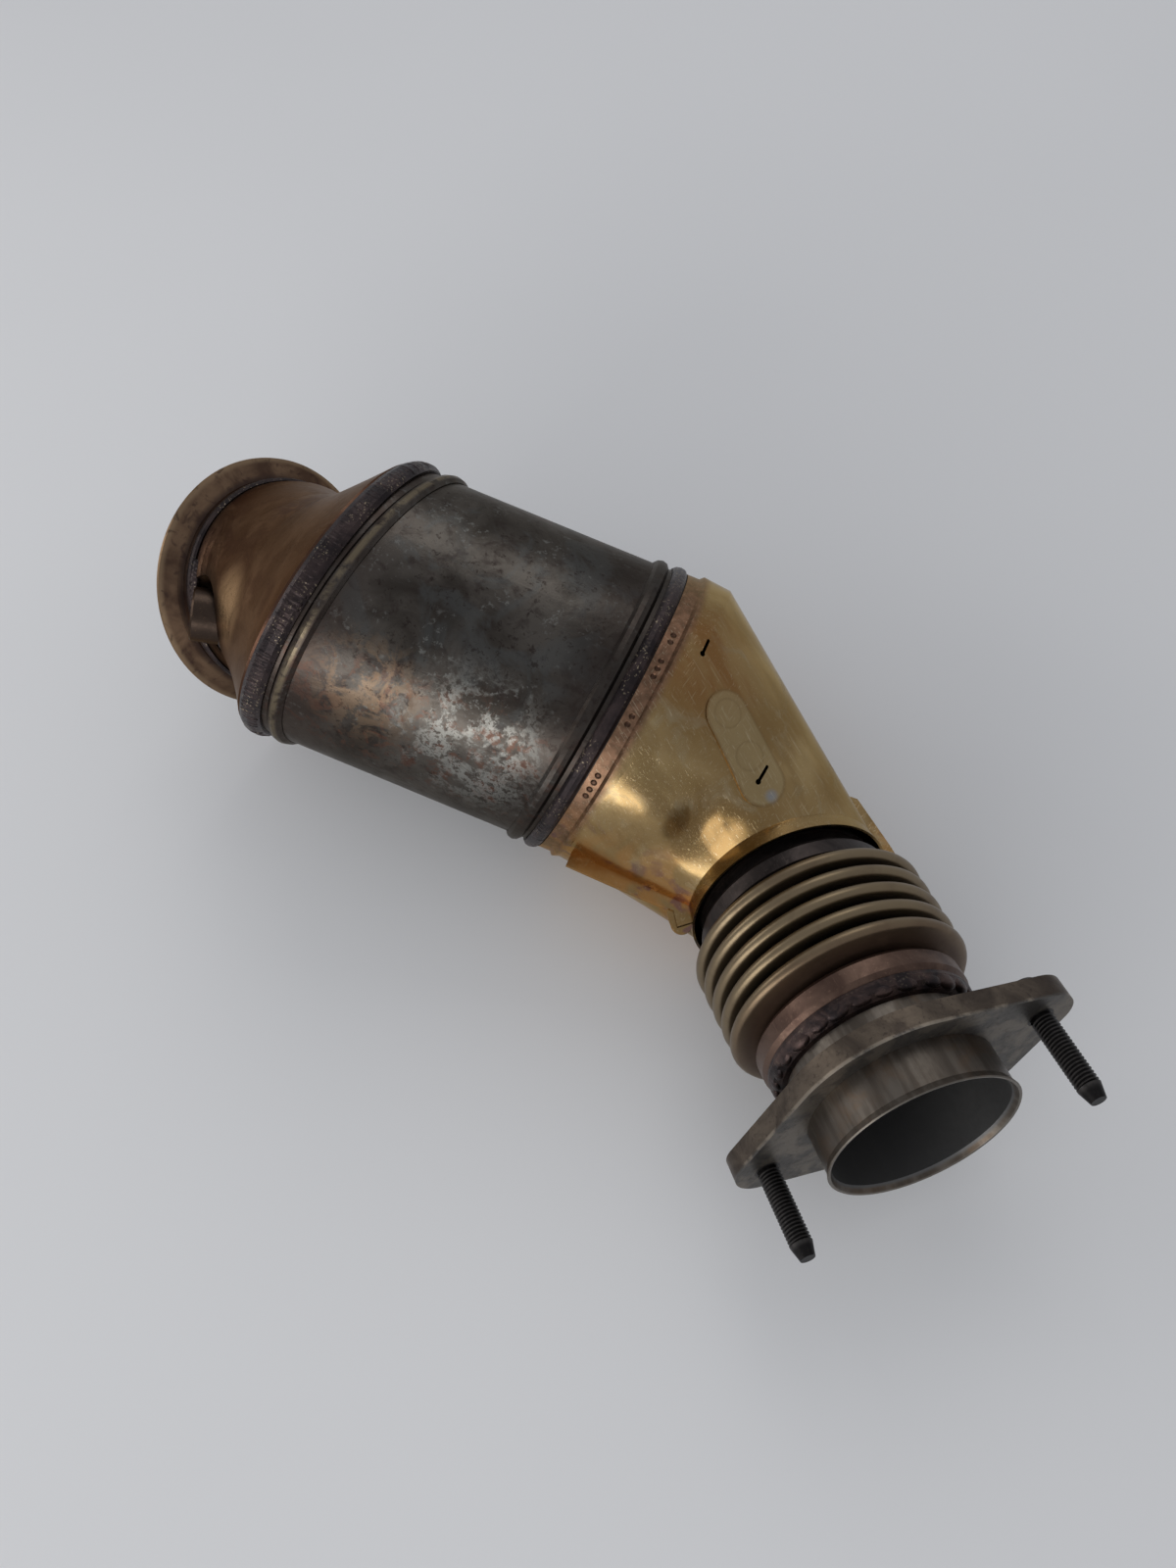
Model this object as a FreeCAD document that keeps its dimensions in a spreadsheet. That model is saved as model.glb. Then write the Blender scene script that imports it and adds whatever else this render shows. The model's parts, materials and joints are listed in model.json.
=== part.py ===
# Close-coupled catalytic converter with V-band inlet, shielded outlet cone,
# flexible bellows and two-stud outlet flange.  Millimetres.
#
# The geometry is written in the frame of the can: X along the can axis towards
# the outlet, Z roughly upwards.  Every sub-part is then placed lying at rest,
# +Z up, on its V-band rim, the lower heat shield and the bellows.
import math
import os

import FreeCAD
import Part

Vec = FreeCAD.Vector

doc = FreeCAD.newDocument("catalytic_converter")
sheet = doc.addObject("Spreadsheet::Sheet", "sizes")

SIZES = [
    ("can_radius", 59.7, "outside radius of the can shell"),
    ("can_wall", 1.5, "sheet thickness of can and cones"),
    ("can_front", -19.0, "front end of the can along its axis"),
    ("can_back", 92.0, "back end of the can along its axis"),
    ("mat_gap", 4.2, "compressed mounting mat between brick and shell"),
    ("brick_front", 6.0, "front face of the ceramic brick"),
    ("brick_length", 74.0, "length of the ceramic brick"),
    ("mat_inset", 4.0, "mat starts this far inside each brick end"),
    ("ridge_height", 2.2, "height of the rolled ridges on the can"),
    ("ridge_width", 6.0, "width of the rolled ridges on the can"),
    ("front_ridge_at", -7.0, "front ridge along the can axis"),
    ("back_ridge_inset", 7.5, "back ridge measured from the back end of the can"),
    ("weld_bead", 4.2, "half the width of the front ring weld"),
    ("weld_height", 2.6, "height of the front ring weld"),
    ("skirt_length", 5.5, "cylindrical skirt of the inlet cone next to the can"),
    ("inlet_rim_radius", 55.0, "outside radius of the V-band flange"),
    ("inlet_neck_radius", 45.5, "outside radius of the inlet neck"),
    ("inlet_flange_depth", 12.0, "depth of the V-band flange"),
    ("boss_radius", 11.2, "outside radius of the sensor boss"),
    ("boss_bore", 8.25, "bore of the M18 sensor thread"),
    ("boss_length", 24.0, "length of the sensor boss"),
    ("boss_stand", 15.0, "boss stands this far out of its pocket"),
    ("pocket_radius", 14.0, "radius of the pocket floor round the boss"),
    ("pocket_draft", 3.0, "pocket wider at the mouth of the boss by this much"),
    ("tube_radius", 33.0, "outside radius of neck tube and outlet pipe"),
    ("tube_wall", 1.5, "wall of the outlet pipe"),
    ("neck_wall", 2.0, "wall of the neck tube"),
    ("fit_gap", 0.05, "clearance between seated sleeves"),
    ("shield_sheet", 0.8, "sheet thickness of the heat shield"),
    ("shield_standoff", 5.0, "air gap between shield and outlet cone"),
    ("shield_lip_rise", 6.0, "shield lip above the neck tube"),
    ("shield_lip_back", 102.0, "shield lip measured back from the pipe mouth"),
    ("seam_width", 6.0, "width of the shield seam flange"),
    ("tab_radius", 4.0, "half the width of the round tab at the end of the seam"),
    ("tab_reach", 3.0, "round tab beyond the shield lip"),
    ("pad_radius", 8.5, "half the width of the pad pressed into the shield"),
    ("slot_half_width", 0.6, "half the width of the keyhole slots"),
    ("slot_length", 6.4, "keyhole slot from end to end of its straight part"),
    ("keyhole_radius", 1.0, "round end of the keyhole slots"),
    ("bellows_ply", 0.8, "thickness of the bellows wall"),
    ("crest_rise", 11.4, "bellows crests above the tube"),
    ("root_rise", 3.0, "bellows roots above the tube, middle of the wall"),
    ("pitch", 7.8, "bellows pitch"),
    ("crests", 5, "number of bellows crests"),
    ("last_crest_back", 52.9, "last crest measured back from the pipe mouth"),
    ("shoulder_back", "=last_crest_back + (crests - 0.5) * pitch + 1.0",
     "front shoulder of the bellows measured back from the pipe mouth"),
    ("front_cuff_back", 98.0, "front end of the bellows cuff"),
    ("rear_cuff_back", 38.0, "rear end of the bellows cuff"),
    ("front_collar_wall", 3.55, "wall of the front bellows collar"),
    ("rear_collar_wall", 4.35, "wall of the rear bellows collar"),
    ("neck_front_back", 112.0, "front end of the neck tube"),
    ("neck_rear_back", 88.0, "rear end of the neck tube"),
    ("pipe_front_back", 47.0, "inner end of the outlet pipe"),
    ("liner_float", 2.0, "room between the flex liner and the outlet pipe"),
    ("flange_face_back", 16.0, "flange sealing face measured back from the mouth"),
    ("flange_plate", 8.0, "thickness of the outlet flange"),
    ("flange_margin", 8.0, "flange round the pipe, from pipe to edge"),
    ("ear_radius", 11.5, "radius of the flange ears"),
    ("stud_offset", 50.8, "stud axis from the pipe axis"),
    ("stud_radius", 3.95, "M8 stud crest radius"),
    ("shank_radius", 4.6, "knurled shank of the stud, pressed into the flange"),
    ("stud_reach", 31.0, "stud beyond the flange face"),
    ("stud_head_radius", 6.5, "radius of the stud head"),
    ("stud_head_height", 4.0, "height of the stud head"),
    ("dog_radius", 2.6, "radius of the stud point"),
    ("dog_length", 5.0, "length of the tapered stud point"),
    ("rest_tilt", 16.31, "nose-up tilt of the can at rest, degrees"),
]
for row, (alias, value, note) in enumerate(SIZES, start=1):
    sheet.set("A%d" % row, note)
    sheet.set("B%d" % row, str(value))
    sheet.setAlias("B%d" % row, alias)
doc.recompute()


def size(alias):
    return float(sheet.get(alias))


# ---------------------------------------------------------------- directions
CAN = Vec(1, 0, 0)
UP = Vec(0, 0, 1)
FRONT_PLANE = Vec(0.980, -0.170, -0.100).normalize()
RIDGE_PLANE = Vec(0.975, -0.205, -0.060).normalize()
BACK_PLANE = Vec(0.989, -0.050, -0.140).normalize()
INLET_OUT = Vec(-0.782, 0.203, -0.590).normalize()
INLET_CENTRE = Vec(-72.0, 25.7, -57.6)
OUTLET_OUT = Vec(0.5555, -0.7414, 0.3766).normalize()
MOUTH = Vec(241.4, -123.5, 43.5)
EAR = Vec(-0.568, -0.669, -0.479)
BOSS_MOUTH = Vec(-79.7, -19.8, -23.2)
BOSS_OUT = Vec(-0.910, -0.362, 0.173).normalize()

PAD_TOP = Vec(134.7, -13.1, 54.0)
PAD_FOOT = Vec(155.5, -27.7, 44.1)
PAD_OUT = Vec(0.322, -0.132, 0.938).normalize()
SLOT_RUN = Vec(0.10, 0.99, 0.07).normalize()
SLOTS = (
    (Vec(118.7, 1.3, 61.0), Vec(0.376, 0.039, 0.926).normalize()),
    (Vec(153.9, -28.5, 44.3), Vec(0.270, -0.200, 0.930).normalize()),
)


def frame_at(origin, axis, side):
    """Placement whose Z is axis and whose X is nearest to side."""
    x = (side - axis * side.dot(axis)).normalize()
    return FreeCAD.Placement(origin, FreeCAD.Rotation(x, axis.cross(x), axis, "ZXY"))


rest = FreeCAD.Placement(Vec(0, 0, 0), FreeCAD.Rotation(Vec(0, 1, 0), size("rest_tilt")))
can_frame = FreeCAD.Placement()
inlet_frame = frame_at(INLET_CENTRE, INLET_OUT, UP)
outlet_frame = frame_at(MOUTH, OUTLET_OUT, EAR)
boss_frame = frame_at(BOSS_MOUTH, BOSS_OUT, UP)
# the can cylinder as a local frame whose Z is the can axis
can_axis_frame = frame_at(Vec(0, 0, 0), CAN, UP)

parts = []


def keep(obj, name, frame):
    obj.Label = name
    obj.Placement = rest.multiply(frame)
    parts.append((name, obj, frame))
    return obj


def shaped(name, shape, frame=can_frame):
    """A sub-part with free-form walls, given in the can frame or another."""
    obj = doc.addObject("Part::Feature", name)
    obj.Shape = shape
    return keep(obj, name, frame)


def turned(name, frame, outline):
    """A turned sub-part: closed outline of (radius, height) formula pairs."""
    body = doc.addObject("PartDesign::Body", name)
    sketch = body.newObject("Sketcher::SketchObject", name + "_profile")
    plane = [f for f in body.Origin.OriginFeatures if f.Role == "XZ_Plane"][0]
    sketch.AttachmentSupport = [(plane, "")]
    sketch.MapMode = "FlatFace"
    points = [(evaluate(r), evaluate(z)) for r, z in outline]
    count = len(points)
    for i in range(count):
        start = Vec(points[i][0], points[i][1], 0)
        end = Vec(points[(i + 1) % count][0], points[(i + 1) % count][1], 0)
        sketch.addGeometry(Part.LineSegment(start, end), False)
    import Sketcher
    for i in range(count):
        sketch.addConstraint(Sketcher.Constraint("Coincident", i, 2, (i + 1) % count, 1))
    for i in range(count):
        k = sketch.addConstraint(Sketcher.Constraint("DistanceX", -1, 1, i, 1, points[i][0]))
        sketch.setExpression("Constraints[%d]" % k, outline[i][0])
        k = sketch.addConstraint(Sketcher.Constraint("DistanceY", -1, 1, i, 1, points[i][1]))
        sketch.setExpression("Constraints[%d]" % k, outline[i][1])
    doc.recompute()
    spin = body.newObject("PartDesign::Revolution", name + "_turned")
    spin.Profile = sketch
    spin.ReferenceAxis = (sketch, ["V_Axis"])
    spin.Angle = 360.0
    doc.recompute()
    return keep(body, name, frame)


def evaluate(formula):
    """Value of a formula made of sheet names and numbers joined by + and -."""
    total = 0.0
    sign = 1.0
    for word in formula.split():
        if word == "+":
            sign = 1.0
        elif word == "-":
            sign = -1.0
        elif word.startswith("sizes."):
            total += sign * size(word[6:])
        else:
            total += sign * float(word)
    return total


# ------------------------------------------------------------ shape helpers
def half_space(point, normal, depth=400.0):
    box = Part.makeBox(600, 600, depth, Vec(-300, -300, 0))
    box.Placement = frame_at(point, normal, UP)
    return box


def rod(frame, radius, low, high):
    solid = Part.makeCylinder(radius, high - low, Vec(0, 0, low), Vec(0, 0, 1))
    solid.Placement = frame.multiply(solid.Placement)
    return solid


def ring(point, normal, radius, tube):
    torus = Part.makeTorus(radius, tube)
    torus.Placement = frame_at(point, normal, UP)
    return torus


def circle_points(centre, normal, radius, stretch=1.0, count=24):
    """Points round a circle, or an oval with its height stretched."""
    up = (UP - normal * UP.dot(normal)).normalize()
    side = normal.cross(up)
    found = []
    for k in range(count):
        a = 2 * math.pi * k / count
        found.append(centre + up * (radius * stretch * math.cos(a)) + side * (radius * math.sin(a)))
    return found


def sleeve_points(x, plane, radius, count=24):
    """Points where a tilted plane at x cuts a cylinder round the can axis."""
    found = []
    for k in range(count):
        a = 2 * math.pi * k / count
        z = radius * math.cos(a)
        y = -radius * math.sin(a)
        found.append(Vec(x - (plane.y * y + plane.z * z) / plane.x, y, z))
    return found


def closed_wire(points):
    curve = Part.BSplineCurve()
    curve.interpolate(points, PeriodicFlag=True)
    return Part.Wire([curve.toShape()])


def skin(sections):
    return Part.makeLoft([closed_wire(s) for s in sections], True, True)


def eased(sections, steps=3, tension=0.6):
    """Sections with smooth ones added between them, so a skin has no hard bends."""
    found = [sections[0]]
    last = len(sections) - 1
    for n in range(last):
        before = sections[max(n - 1, 0)]
        here = sections[n]
        there = sections[n + 1]
        after = sections[min(n + 2, last)]
        for k in range(1, steps + 1):
            t = k / steps
            row = []
            for p0, p1, p2, p3 in zip(before, here, there, after):
                m1 = (p2 - p0) * (0.5 * tension)
                m2 = (p3 - p1) * (0.5 * tension)
                row.append(p1 * (2 * t ** 3 - 3 * t ** 2 + 1) + m1 * (t ** 3 - 2 * t ** 2 + t)
                           + p2 * (3 * t ** 2 - 2 * t ** 3) + m2 * (t ** 3 - t ** 2))
            found.append(row)
    return found


def ring_bead(x, plane, radius, half_width, height):
    """Weld bead with a rounded top, lying round the can cylinder on a tilted plane."""
    outer = []
    for step in (-1.0, -0.6, 0.0, 0.6, 1.0):
        lift = height * math.sqrt(max(0.0, 1.0 - 0.85 * step * step))
        outer.append(sleeve_points(x + step * half_width, plane, radius + lift))
    inner = [sleeve_points(x + step * (half_width + 2), plane, radius) for step in (-1, 1)]
    return skin(outer).cut(skin(inner))


# ---------------------------------------------------------------- can shell
can_outer_r = size("can_radius")
can_inner_r = can_outer_r - size("can_wall")
front = size("can_front")
back = size("can_back")

# The two ridges are rolled out of the shell's own wall, so they are fused with it.
ridge_half = size("ridge_width") / 2
ridge_root = can_outer_r - size("can_wall") / 2
ridge_lift = size("ridge_height") + size("can_wall") / 2
front_ridge = ring_bead(size("front_ridge_at"), RIDGE_PLANE, ridge_root, ridge_half, ridge_lift)
back_ridge = ring_bead(back - size("back_ridge_inset"), BACK_PLANE, ridge_root, ridge_half, ridge_lift)
can_solid = rod(can_axis_frame, can_outer_r, front - 40, back + 40)
can_bore = rod(can_axis_frame, can_inner_r, front - 40, back + 40)
can_shell = can_solid.cut(can_bore)
can_shell = can_shell.common(half_space(Vec(front, 0, 0), FRONT_PLANE))
can_shell = can_shell.common(half_space(Vec(back, 0, 0), BACK_PLANE * -1))
can_shell = can_shell.fuse([front_ridge, back_ridge])
shaped("can_shell", can_shell)

# ------------------------------------------------------- brick and its mat
turned("ceramic_brick", can_axis_frame, [
    ("0.0", "sizes.brick_front"),
    ("sizes.can_radius - sizes.can_wall - sizes.mat_gap", "sizes.brick_front"),
    ("sizes.can_radius - sizes.can_wall - sizes.mat_gap", "sizes.brick_front + sizes.brick_length"),
    ("0.0", "sizes.brick_front + sizes.brick_length"),
])
turned("mounting_mat", can_axis_frame, [
    ("sizes.can_radius - sizes.can_wall - sizes.mat_gap", "sizes.brick_front + sizes.mat_inset"),
    ("sizes.can_radius - sizes.can_wall", "sizes.brick_front + sizes.mat_inset"),
    ("sizes.can_radius - sizes.can_wall",
     "sizes.brick_front + sizes.brick_length - sizes.mat_inset"),
    ("sizes.can_radius - sizes.can_wall - sizes.mat_gap",
     "sizes.brick_front + sizes.brick_length - sizes.mat_inset"),
])

# --------------------------------------------------------- V-band flange
turned("inlet_vband_flange", inlet_frame, [
    ("sizes.inlet_neck_radius - sizes.can_wall", "0.0"),
    ("sizes.inlet_rim_radius - 1.2", "0.0"),
    ("sizes.inlet_rim_radius", "0.0 - 1.2"),
    ("sizes.inlet_rim_radius", "0.0 - 2.6"),
    ("sizes.inlet_neck_radius + 3.0", "0.0 - 6.2"),
    ("sizes.inlet_neck_radius + 0.8", "0.0 - 7.2"),
    ("sizes.inlet_neck_radius", "0.0 - sizes.inlet_flange_depth"),
    ("sizes.inlet_neck_radius - sizes.can_wall", "0.0 - sizes.inlet_flange_depth"),
])

# ------------------------------------------------------------ inlet cone
INLET_IN = INLET_OUT * -1


def inlet_sections(inset, run_on=0.0):
    """Sections of the inlet cone: neck, flare, and a short skirt as wide as the can."""
    neck = size("inlet_neck_radius") - inset
    depth = size("inlet_flange_depth")
    skirt = can_outer_r - inset
    flare = [
        circle_points(INLET_CENTRE + INLET_IN * (depth - run_on), INLET_IN, neck),
        circle_points(INLET_CENTRE + INLET_IN * (depth + 12), INLET_IN, neck + 0.8),
        circle_points(Vec(-40.0, 5.0, -22.5), Vec(0.93, -0.20, 0.20).normalize(), 46.5 - inset),
        sleeve_points(front - size("skirt_length"), FRONT_PLANE, skirt),
    ]
    return eased(flare) + [sleeve_points(front + run_on, FRONT_PLANE, skirt)]



def pocket(grow):
    """Tapered space pressed into the cone round the boss, its floor square to the boss."""
    depth = size("boss_stand") + grow
    rise = size("boss_stand") + 20.0
    slope = size("pocket_draft") / size("boss_stand")
    floor_r = size("pocket_radius") + grow
    tool = Part.makeCone(floor_r, floor_r + slope * rise, rise, Vec(0, 0, -depth))
    tool.Placement = boss_frame
    return tool


cone_solid = skin(inlet_sections(0.0)).cut(pocket(0.0))
cone_bore = skin(inlet_sections(size("can_wall"), 1.0)).cut(pocket(size("can_wall")))
boss_hole = rod(boss_frame, size("boss_radius"), -size("boss_length"), 0)
inlet_cone = cone_solid.cut(cone_bore).cut(boss_hole)
shaped("inlet_cone", inlet_cone)

turned("sensor_boss", boss_frame, [
    ("sizes.boss_bore", "0.0"),
    ("sizes.boss_radius - 0.8", "0.0"),
    ("sizes.boss_radius", "0.0 - 0.8"),
    ("sizes.boss_radius", "0.0 - sizes.boss_length"),
    ("sizes.boss_bore", "0.0 - sizes.boss_length"),
])

turned("sensor_boss_weld", boss_frame, [
    ("sizes.boss_radius + sizes.fit_gap", "0.0 - sizes.boss_stand + sizes.fit_gap"),
    ("sizes.boss_radius + 2.4", "0.0 - sizes.boss_stand + sizes.fit_gap"),
    ("sizes.boss_radius + 2.0", "0.0 - sizes.boss_stand + 1.5"),
    ("sizes.boss_radius + 1.0", "0.0 - sizes.boss_stand + 2.6"),
    ("sizes.boss_radius + sizes.fit_gap", "0.0 - sizes.boss_stand + 3.2"),
])

turned("inlet_neck_weld", inlet_frame, [
    ("sizes.inlet_neck_radius + 0.4", "0.0 - sizes.inlet_flange_depth + 2.0"),
    ("sizes.inlet_neck_radius + 1.4", "0.0 - sizes.inlet_flange_depth + 1.3"),
    ("sizes.inlet_neck_radius + 1.6", "0.0 - sizes.inlet_flange_depth"),
    ("sizes.inlet_neck_radius + 1.4", "0.0 - sizes.inlet_flange_depth - 1.3"),
    ("sizes.inlet_neck_radius + 0.55", "0.0 - sizes.inlet_flange_depth - 2.0"),
    ("sizes.inlet_neck_radius + 0.2", "0.0 - sizes.inlet_flange_depth"),
])

shaped("inlet_ring_weld", ring_bead(front, FRONT_PLANE, can_outer_r + size("fit_gap"),
                                    size("weld_bead"), size("weld_height")))

# ------------------------------------------------------------- outlet cone
neck_back = size("neck_front_back")


def on_outlet(distance_back):
    return MOUTH - OUTLET_OUT * distance_back


ELBOW_CENTRE = Vec(109.0, 0.0, 0.0)
ELBOW_PLANE = Vec(0.981, -0.130, -0.140).normalize()


def outlet_sections(inset, run_on=0.0):
    skirt = can_outer_r - inset
    gap = size("shield_standoff") + size("shield_sheet")
    neck = size("tube_radius") + size("tube_wall") + 2 * size("fit_gap")
    return [
        sleeve_points(back - run_on, BACK_PLANE, skirt),
        sleeve_points(back + 9.0, BACK_PLANE, skirt),
        circle_points(ELBOW_CENTRE + Vec(3, 0, 0), ELBOW_PLANE, 61.0 - gap - inset),
        circle_points(on_outlet(neck_back + 3), OUTLET_OUT, neck - inset),
        circle_points(on_outlet(neck_back - 8 - run_on), OUTLET_OUT, neck - inset),
    ]


outlet_solid = skin(outlet_sections(0.0))
outlet_cone = outlet_solid.cut(skin(outlet_sections(size("can_wall"), 1.0)))
shaped("outlet_cone", outlet_cone)

shaped("outlet_ring_weld", ring_bead(back, BACK_PLANE, can_outer_r + size("fit_gap"),
                                     2.8, 2.3))

# ------------------------------------------------------------- heat shield
collar_start = back + 3.2
collar_end = back + 8.6


def shield_sections(grow, run_on=0.0):
    seat = can_outer_r + size("fit_gap") + size("shield_sheet")
    return [
        sleeve_points(collar_start - run_on, BACK_PLANE, seat + grow),
        sleeve_points(collar_end, BACK_PLANE, seat + grow),
        sleeve_points(collar_end + 1.2, BACK_PLANE, seat + 1.4 + grow),
        circle_points(ELBOW_CENTRE, ELBOW_PLANE, 62.0 + grow),
        circle_points(on_outlet(size("shield_lip_back") + 6), OUTLET_OUT,
                      (size("tube_radius") + size("shield_lip_rise")) - 0.6 + grow),
        circle_points(on_outlet(size("shield_lip_back") - run_on), OUTLET_OUT,
                      (size("tube_radius") + size("shield_lip_rise")) + grow),
    ]


shield_solid = skin(shield_sections(0.0))
shield_bore = skin(shield_sections(-size("shield_sheet"), 1.0))
shield_shell = shield_solid.cut(shield_bore)

SEAM_POINT = Vec(back, 0, -3.0)
SEAM_UP = Vec(-0.115, 0.0, 1.0).normalize()
seam_zone = skin(shield_sections(size("seam_width"))).cut(shield_solid)
near_side = Part.makeBox(200, 120, 200, Vec(90, -120, -100))
sheet_mm = size("shield_sheet")
upper_space = half_space(SEAM_POINT, SEAM_UP)
lower_space = half_space(SEAM_POINT, SEAM_UP * -1)
upper_strip = half_space(SEAM_POINT, SEAM_UP, sheet_mm)
lower_strip = half_space(SEAM_POINT, SEAM_UP * -1, sheet_mm)
seam_zone = seam_zone.common(near_side)
collar_keep_out = rod(can_axis_frame, 90, 0, collar_end + 2)
seam_zone = seam_zone.cut(collar_keep_out)
shield_upper = shield_shell.common(upper_space).fuse(seam_zone.common(upper_strip))
shield_lower = shield_shell.common(lower_space).fuse(seam_zone.common(lower_strip))


def stadium(start, finish, normal, radius, reach=6.0):
    """Prism with round ends, running from start to finish, that goes through a sheet."""
    place = frame_at(start, normal, finish - start)
    run = place.inverse().multVec(finish).x
    edges = [
        Part.Arc(Vec(0, radius, 0), Vec(-radius, 0, 0), Vec(0, -radius, 0)).toShape(),
        Part.makeLine(Vec(0, -radius, 0), Vec(run, -radius, 0)),
        Part.Arc(Vec(run, -radius, 0), Vec(run + radius, 0, 0), Vec(run, radius, 0)).toShape(),
        Part.makeLine(Vec(run, radius, 0), Vec(0, radius, 0)),
    ]
    prism = Part.Face(Part.Wire(edges)).extrude(Vec(0, 0, 2 * reach))
    prism.translate(Vec(0, 0, -reach))
    prism.Placement = place.multiply(prism.Placement)
    return prism


def seam_spot(distance_back, radius):
    """Point of the seam on the near side, at a radius round the outlet axis."""
    lift = (SEAM_UP - OUTLET_OUT * SEAM_UP.dot(OUTLET_OUT)).normalize()
    across = OUTLET_OUT.cross(lift)
    centre = on_outlet(distance_back)
    turn = math.acos((SEAM_POINT - centre).dot(SEAM_UP) / (radius * lift.dot(SEAM_UP)))
    spots = [centre + lift * (radius * math.cos(turn)) + across * (sgn * radius * math.sin(turn))
             for sgn in (1, -1)]
    return min(spots, key=lambda spot: spot.y)


# The pad is pressed one sheet thickness proud, and the sheet under it is hollow.
pad_outer = stadium(PAD_TOP, PAD_FOOT, PAD_OUT, size("pad_radius"))
pad_inner = stadium(PAD_TOP, PAD_FOOT, PAD_OUT, size("pad_radius") - sheet_mm)
pad_skin = skin(shield_sections(sheet_mm)).cut(shield_solid).common(pad_outer)
shield_upper = shield_upper.cut(pad_inner).fuse(pad_skin)
for keyhole, out in SLOTS:
    slot_end = keyhole + SLOT_RUN * size("slot_length")
    shield_upper = shield_upper.cut(stadium(keyhole, slot_end, out, size("slot_half_width")))
    shield_upper = shield_upper.cut(stadium(keyhole, keyhole + SLOT_RUN * 0.1, out,
                                            size("keyhole_radius")))
shaped("heat_shield_upper", shield_upper)

tab_radius_at = (size("tube_radius") + size("shield_lip_rise")) + size("tab_radius")
tab_tip_back = size("shield_lip_back") - size("tab_reach") + size("tab_radius")
tab = stadium(seam_spot(tab_tip_back + size("tab_radius"), tab_radius_at),
              seam_spot(tab_tip_back, tab_radius_at), SEAM_UP, size("tab_radius"))
tab = tab.common(lower_strip).cut(shield_solid)
shield_lower = shield_lower.fuse(tab)
shaped("heat_shield_lower", shield_lower)

# ------------------------------------------------- neck tube and bellows
turned("neck_tube", outlet_frame, [
    ("sizes.tube_radius - sizes.neck_wall", "0.0 - sizes.neck_front_back"),
    ("sizes.tube_radius", "0.0 - sizes.neck_front_back"),
    ("sizes.tube_radius", "0.0 - sizes.neck_rear_back"),
    ("sizes.tube_radius - sizes.neck_wall", "0.0 - sizes.neck_rear_back"),
])


def bellows_profile():
    """Wall of the bellows: cuffs, round crests and roots, even thickness."""
    half = size("bellows_ply") / 2
    bend = size("pitch") / 4
    crest = (size("tube_radius") + size("crest_rise")) - half - bend
    root = (size("tube_radius") + size("root_rise")) + bend
    cuff = size("tube_radius") + size("fit_gap") + half
    count = int(size("crests"))
    last = -size("last_crest_back")
    first = last - (count - 1) * size("pitch")
    steps = 4

    def side(offset):
        line = [(cuff + offset, -size("front_cuff_back"))]
        line.append((cuff + offset, first - size("pitch") / 2 - 1.0))
        for n in range(count):
            middle = first + n * size("pitch")
            for k in range(steps + 1):
                a = math.pi * (1 - k / steps)
                line.append((crest + (bend + offset) * math.sin(a),
                             middle + (bend + offset) * math.cos(a)))
            if n < count - 1:
                dip = middle + size("pitch") / 2
                for k in range(steps + 1):
                    a = math.pi * (1 - k / steps)
                    line.append((root - (bend - offset) * math.sin(a),
                                 dip + (bend - offset) * math.cos(a)))
        line.append((cuff + offset, last + size("pitch") / 2 + 1.0))
        line.append((cuff + offset, -size("rear_cuff_back")))
        return line

    return side(half) + side(-half)[::-1]


outline = [Vec(r, 0, z) for r, z in bellows_profile()]
wall = Part.Face(Part.makePolygon(outline + [outline[0]]))
shaped("bellows", wall.revolve(Vec(0, 0, 0), Vec(0, 0, 1), 360), outlet_frame)

turned("bellows_front_collar", outlet_frame, [
    ("sizes.tube_radius + sizes.fit_gap + sizes.bellows_ply", "0.0 - sizes.front_cuff_back"),
    ("sizes.tube_radius + sizes.fit_gap + sizes.bellows_ply + sizes.front_collar_wall - 1.0", "0.0 - sizes.front_cuff_back"),
    ("sizes.tube_radius + sizes.fit_gap + sizes.bellows_ply + sizes.front_collar_wall", "0.0 - sizes.front_cuff_back + 1.5"),
    ("sizes.tube_radius + sizes.fit_gap + sizes.bellows_ply + sizes.front_collar_wall", "0.0 - sizes.shoulder_back - 2.0"),
    ("sizes.tube_radius + sizes.fit_gap + sizes.bellows_ply + sizes.front_collar_wall - 2.0", "0.0 - sizes.shoulder_back - 0.5"),
    ("sizes.tube_radius + sizes.fit_gap + sizes.bellows_ply", "0.0 - sizes.shoulder_back - 0.5"),
])
turned("bellows_rear_collar", outlet_frame, [
    ("sizes.tube_radius + sizes.fit_gap + sizes.bellows_ply", "0.0 - sizes.pipe_front_back"),
    ("sizes.tube_radius + sizes.fit_gap + sizes.bellows_ply + sizes.rear_collar_wall - 1.2", "0.0 - sizes.pipe_front_back"),
    ("sizes.tube_radius + sizes.fit_gap + sizes.bellows_ply + sizes.rear_collar_wall", "0.0 - sizes.pipe_front_back + 1.5"),
    ("sizes.tube_radius + sizes.fit_gap + sizes.bellows_ply + sizes.rear_collar_wall", "0.0 - sizes.rear_cuff_back - 2.0"),
    ("sizes.tube_radius + sizes.fit_gap + sizes.bellows_ply + sizes.rear_collar_wall - 1.5", "0.0 - sizes.rear_cuff_back"),
    ("sizes.tube_radius + sizes.fit_gap + sizes.bellows_ply", "0.0 - sizes.rear_cuff_back"),
])
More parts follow.
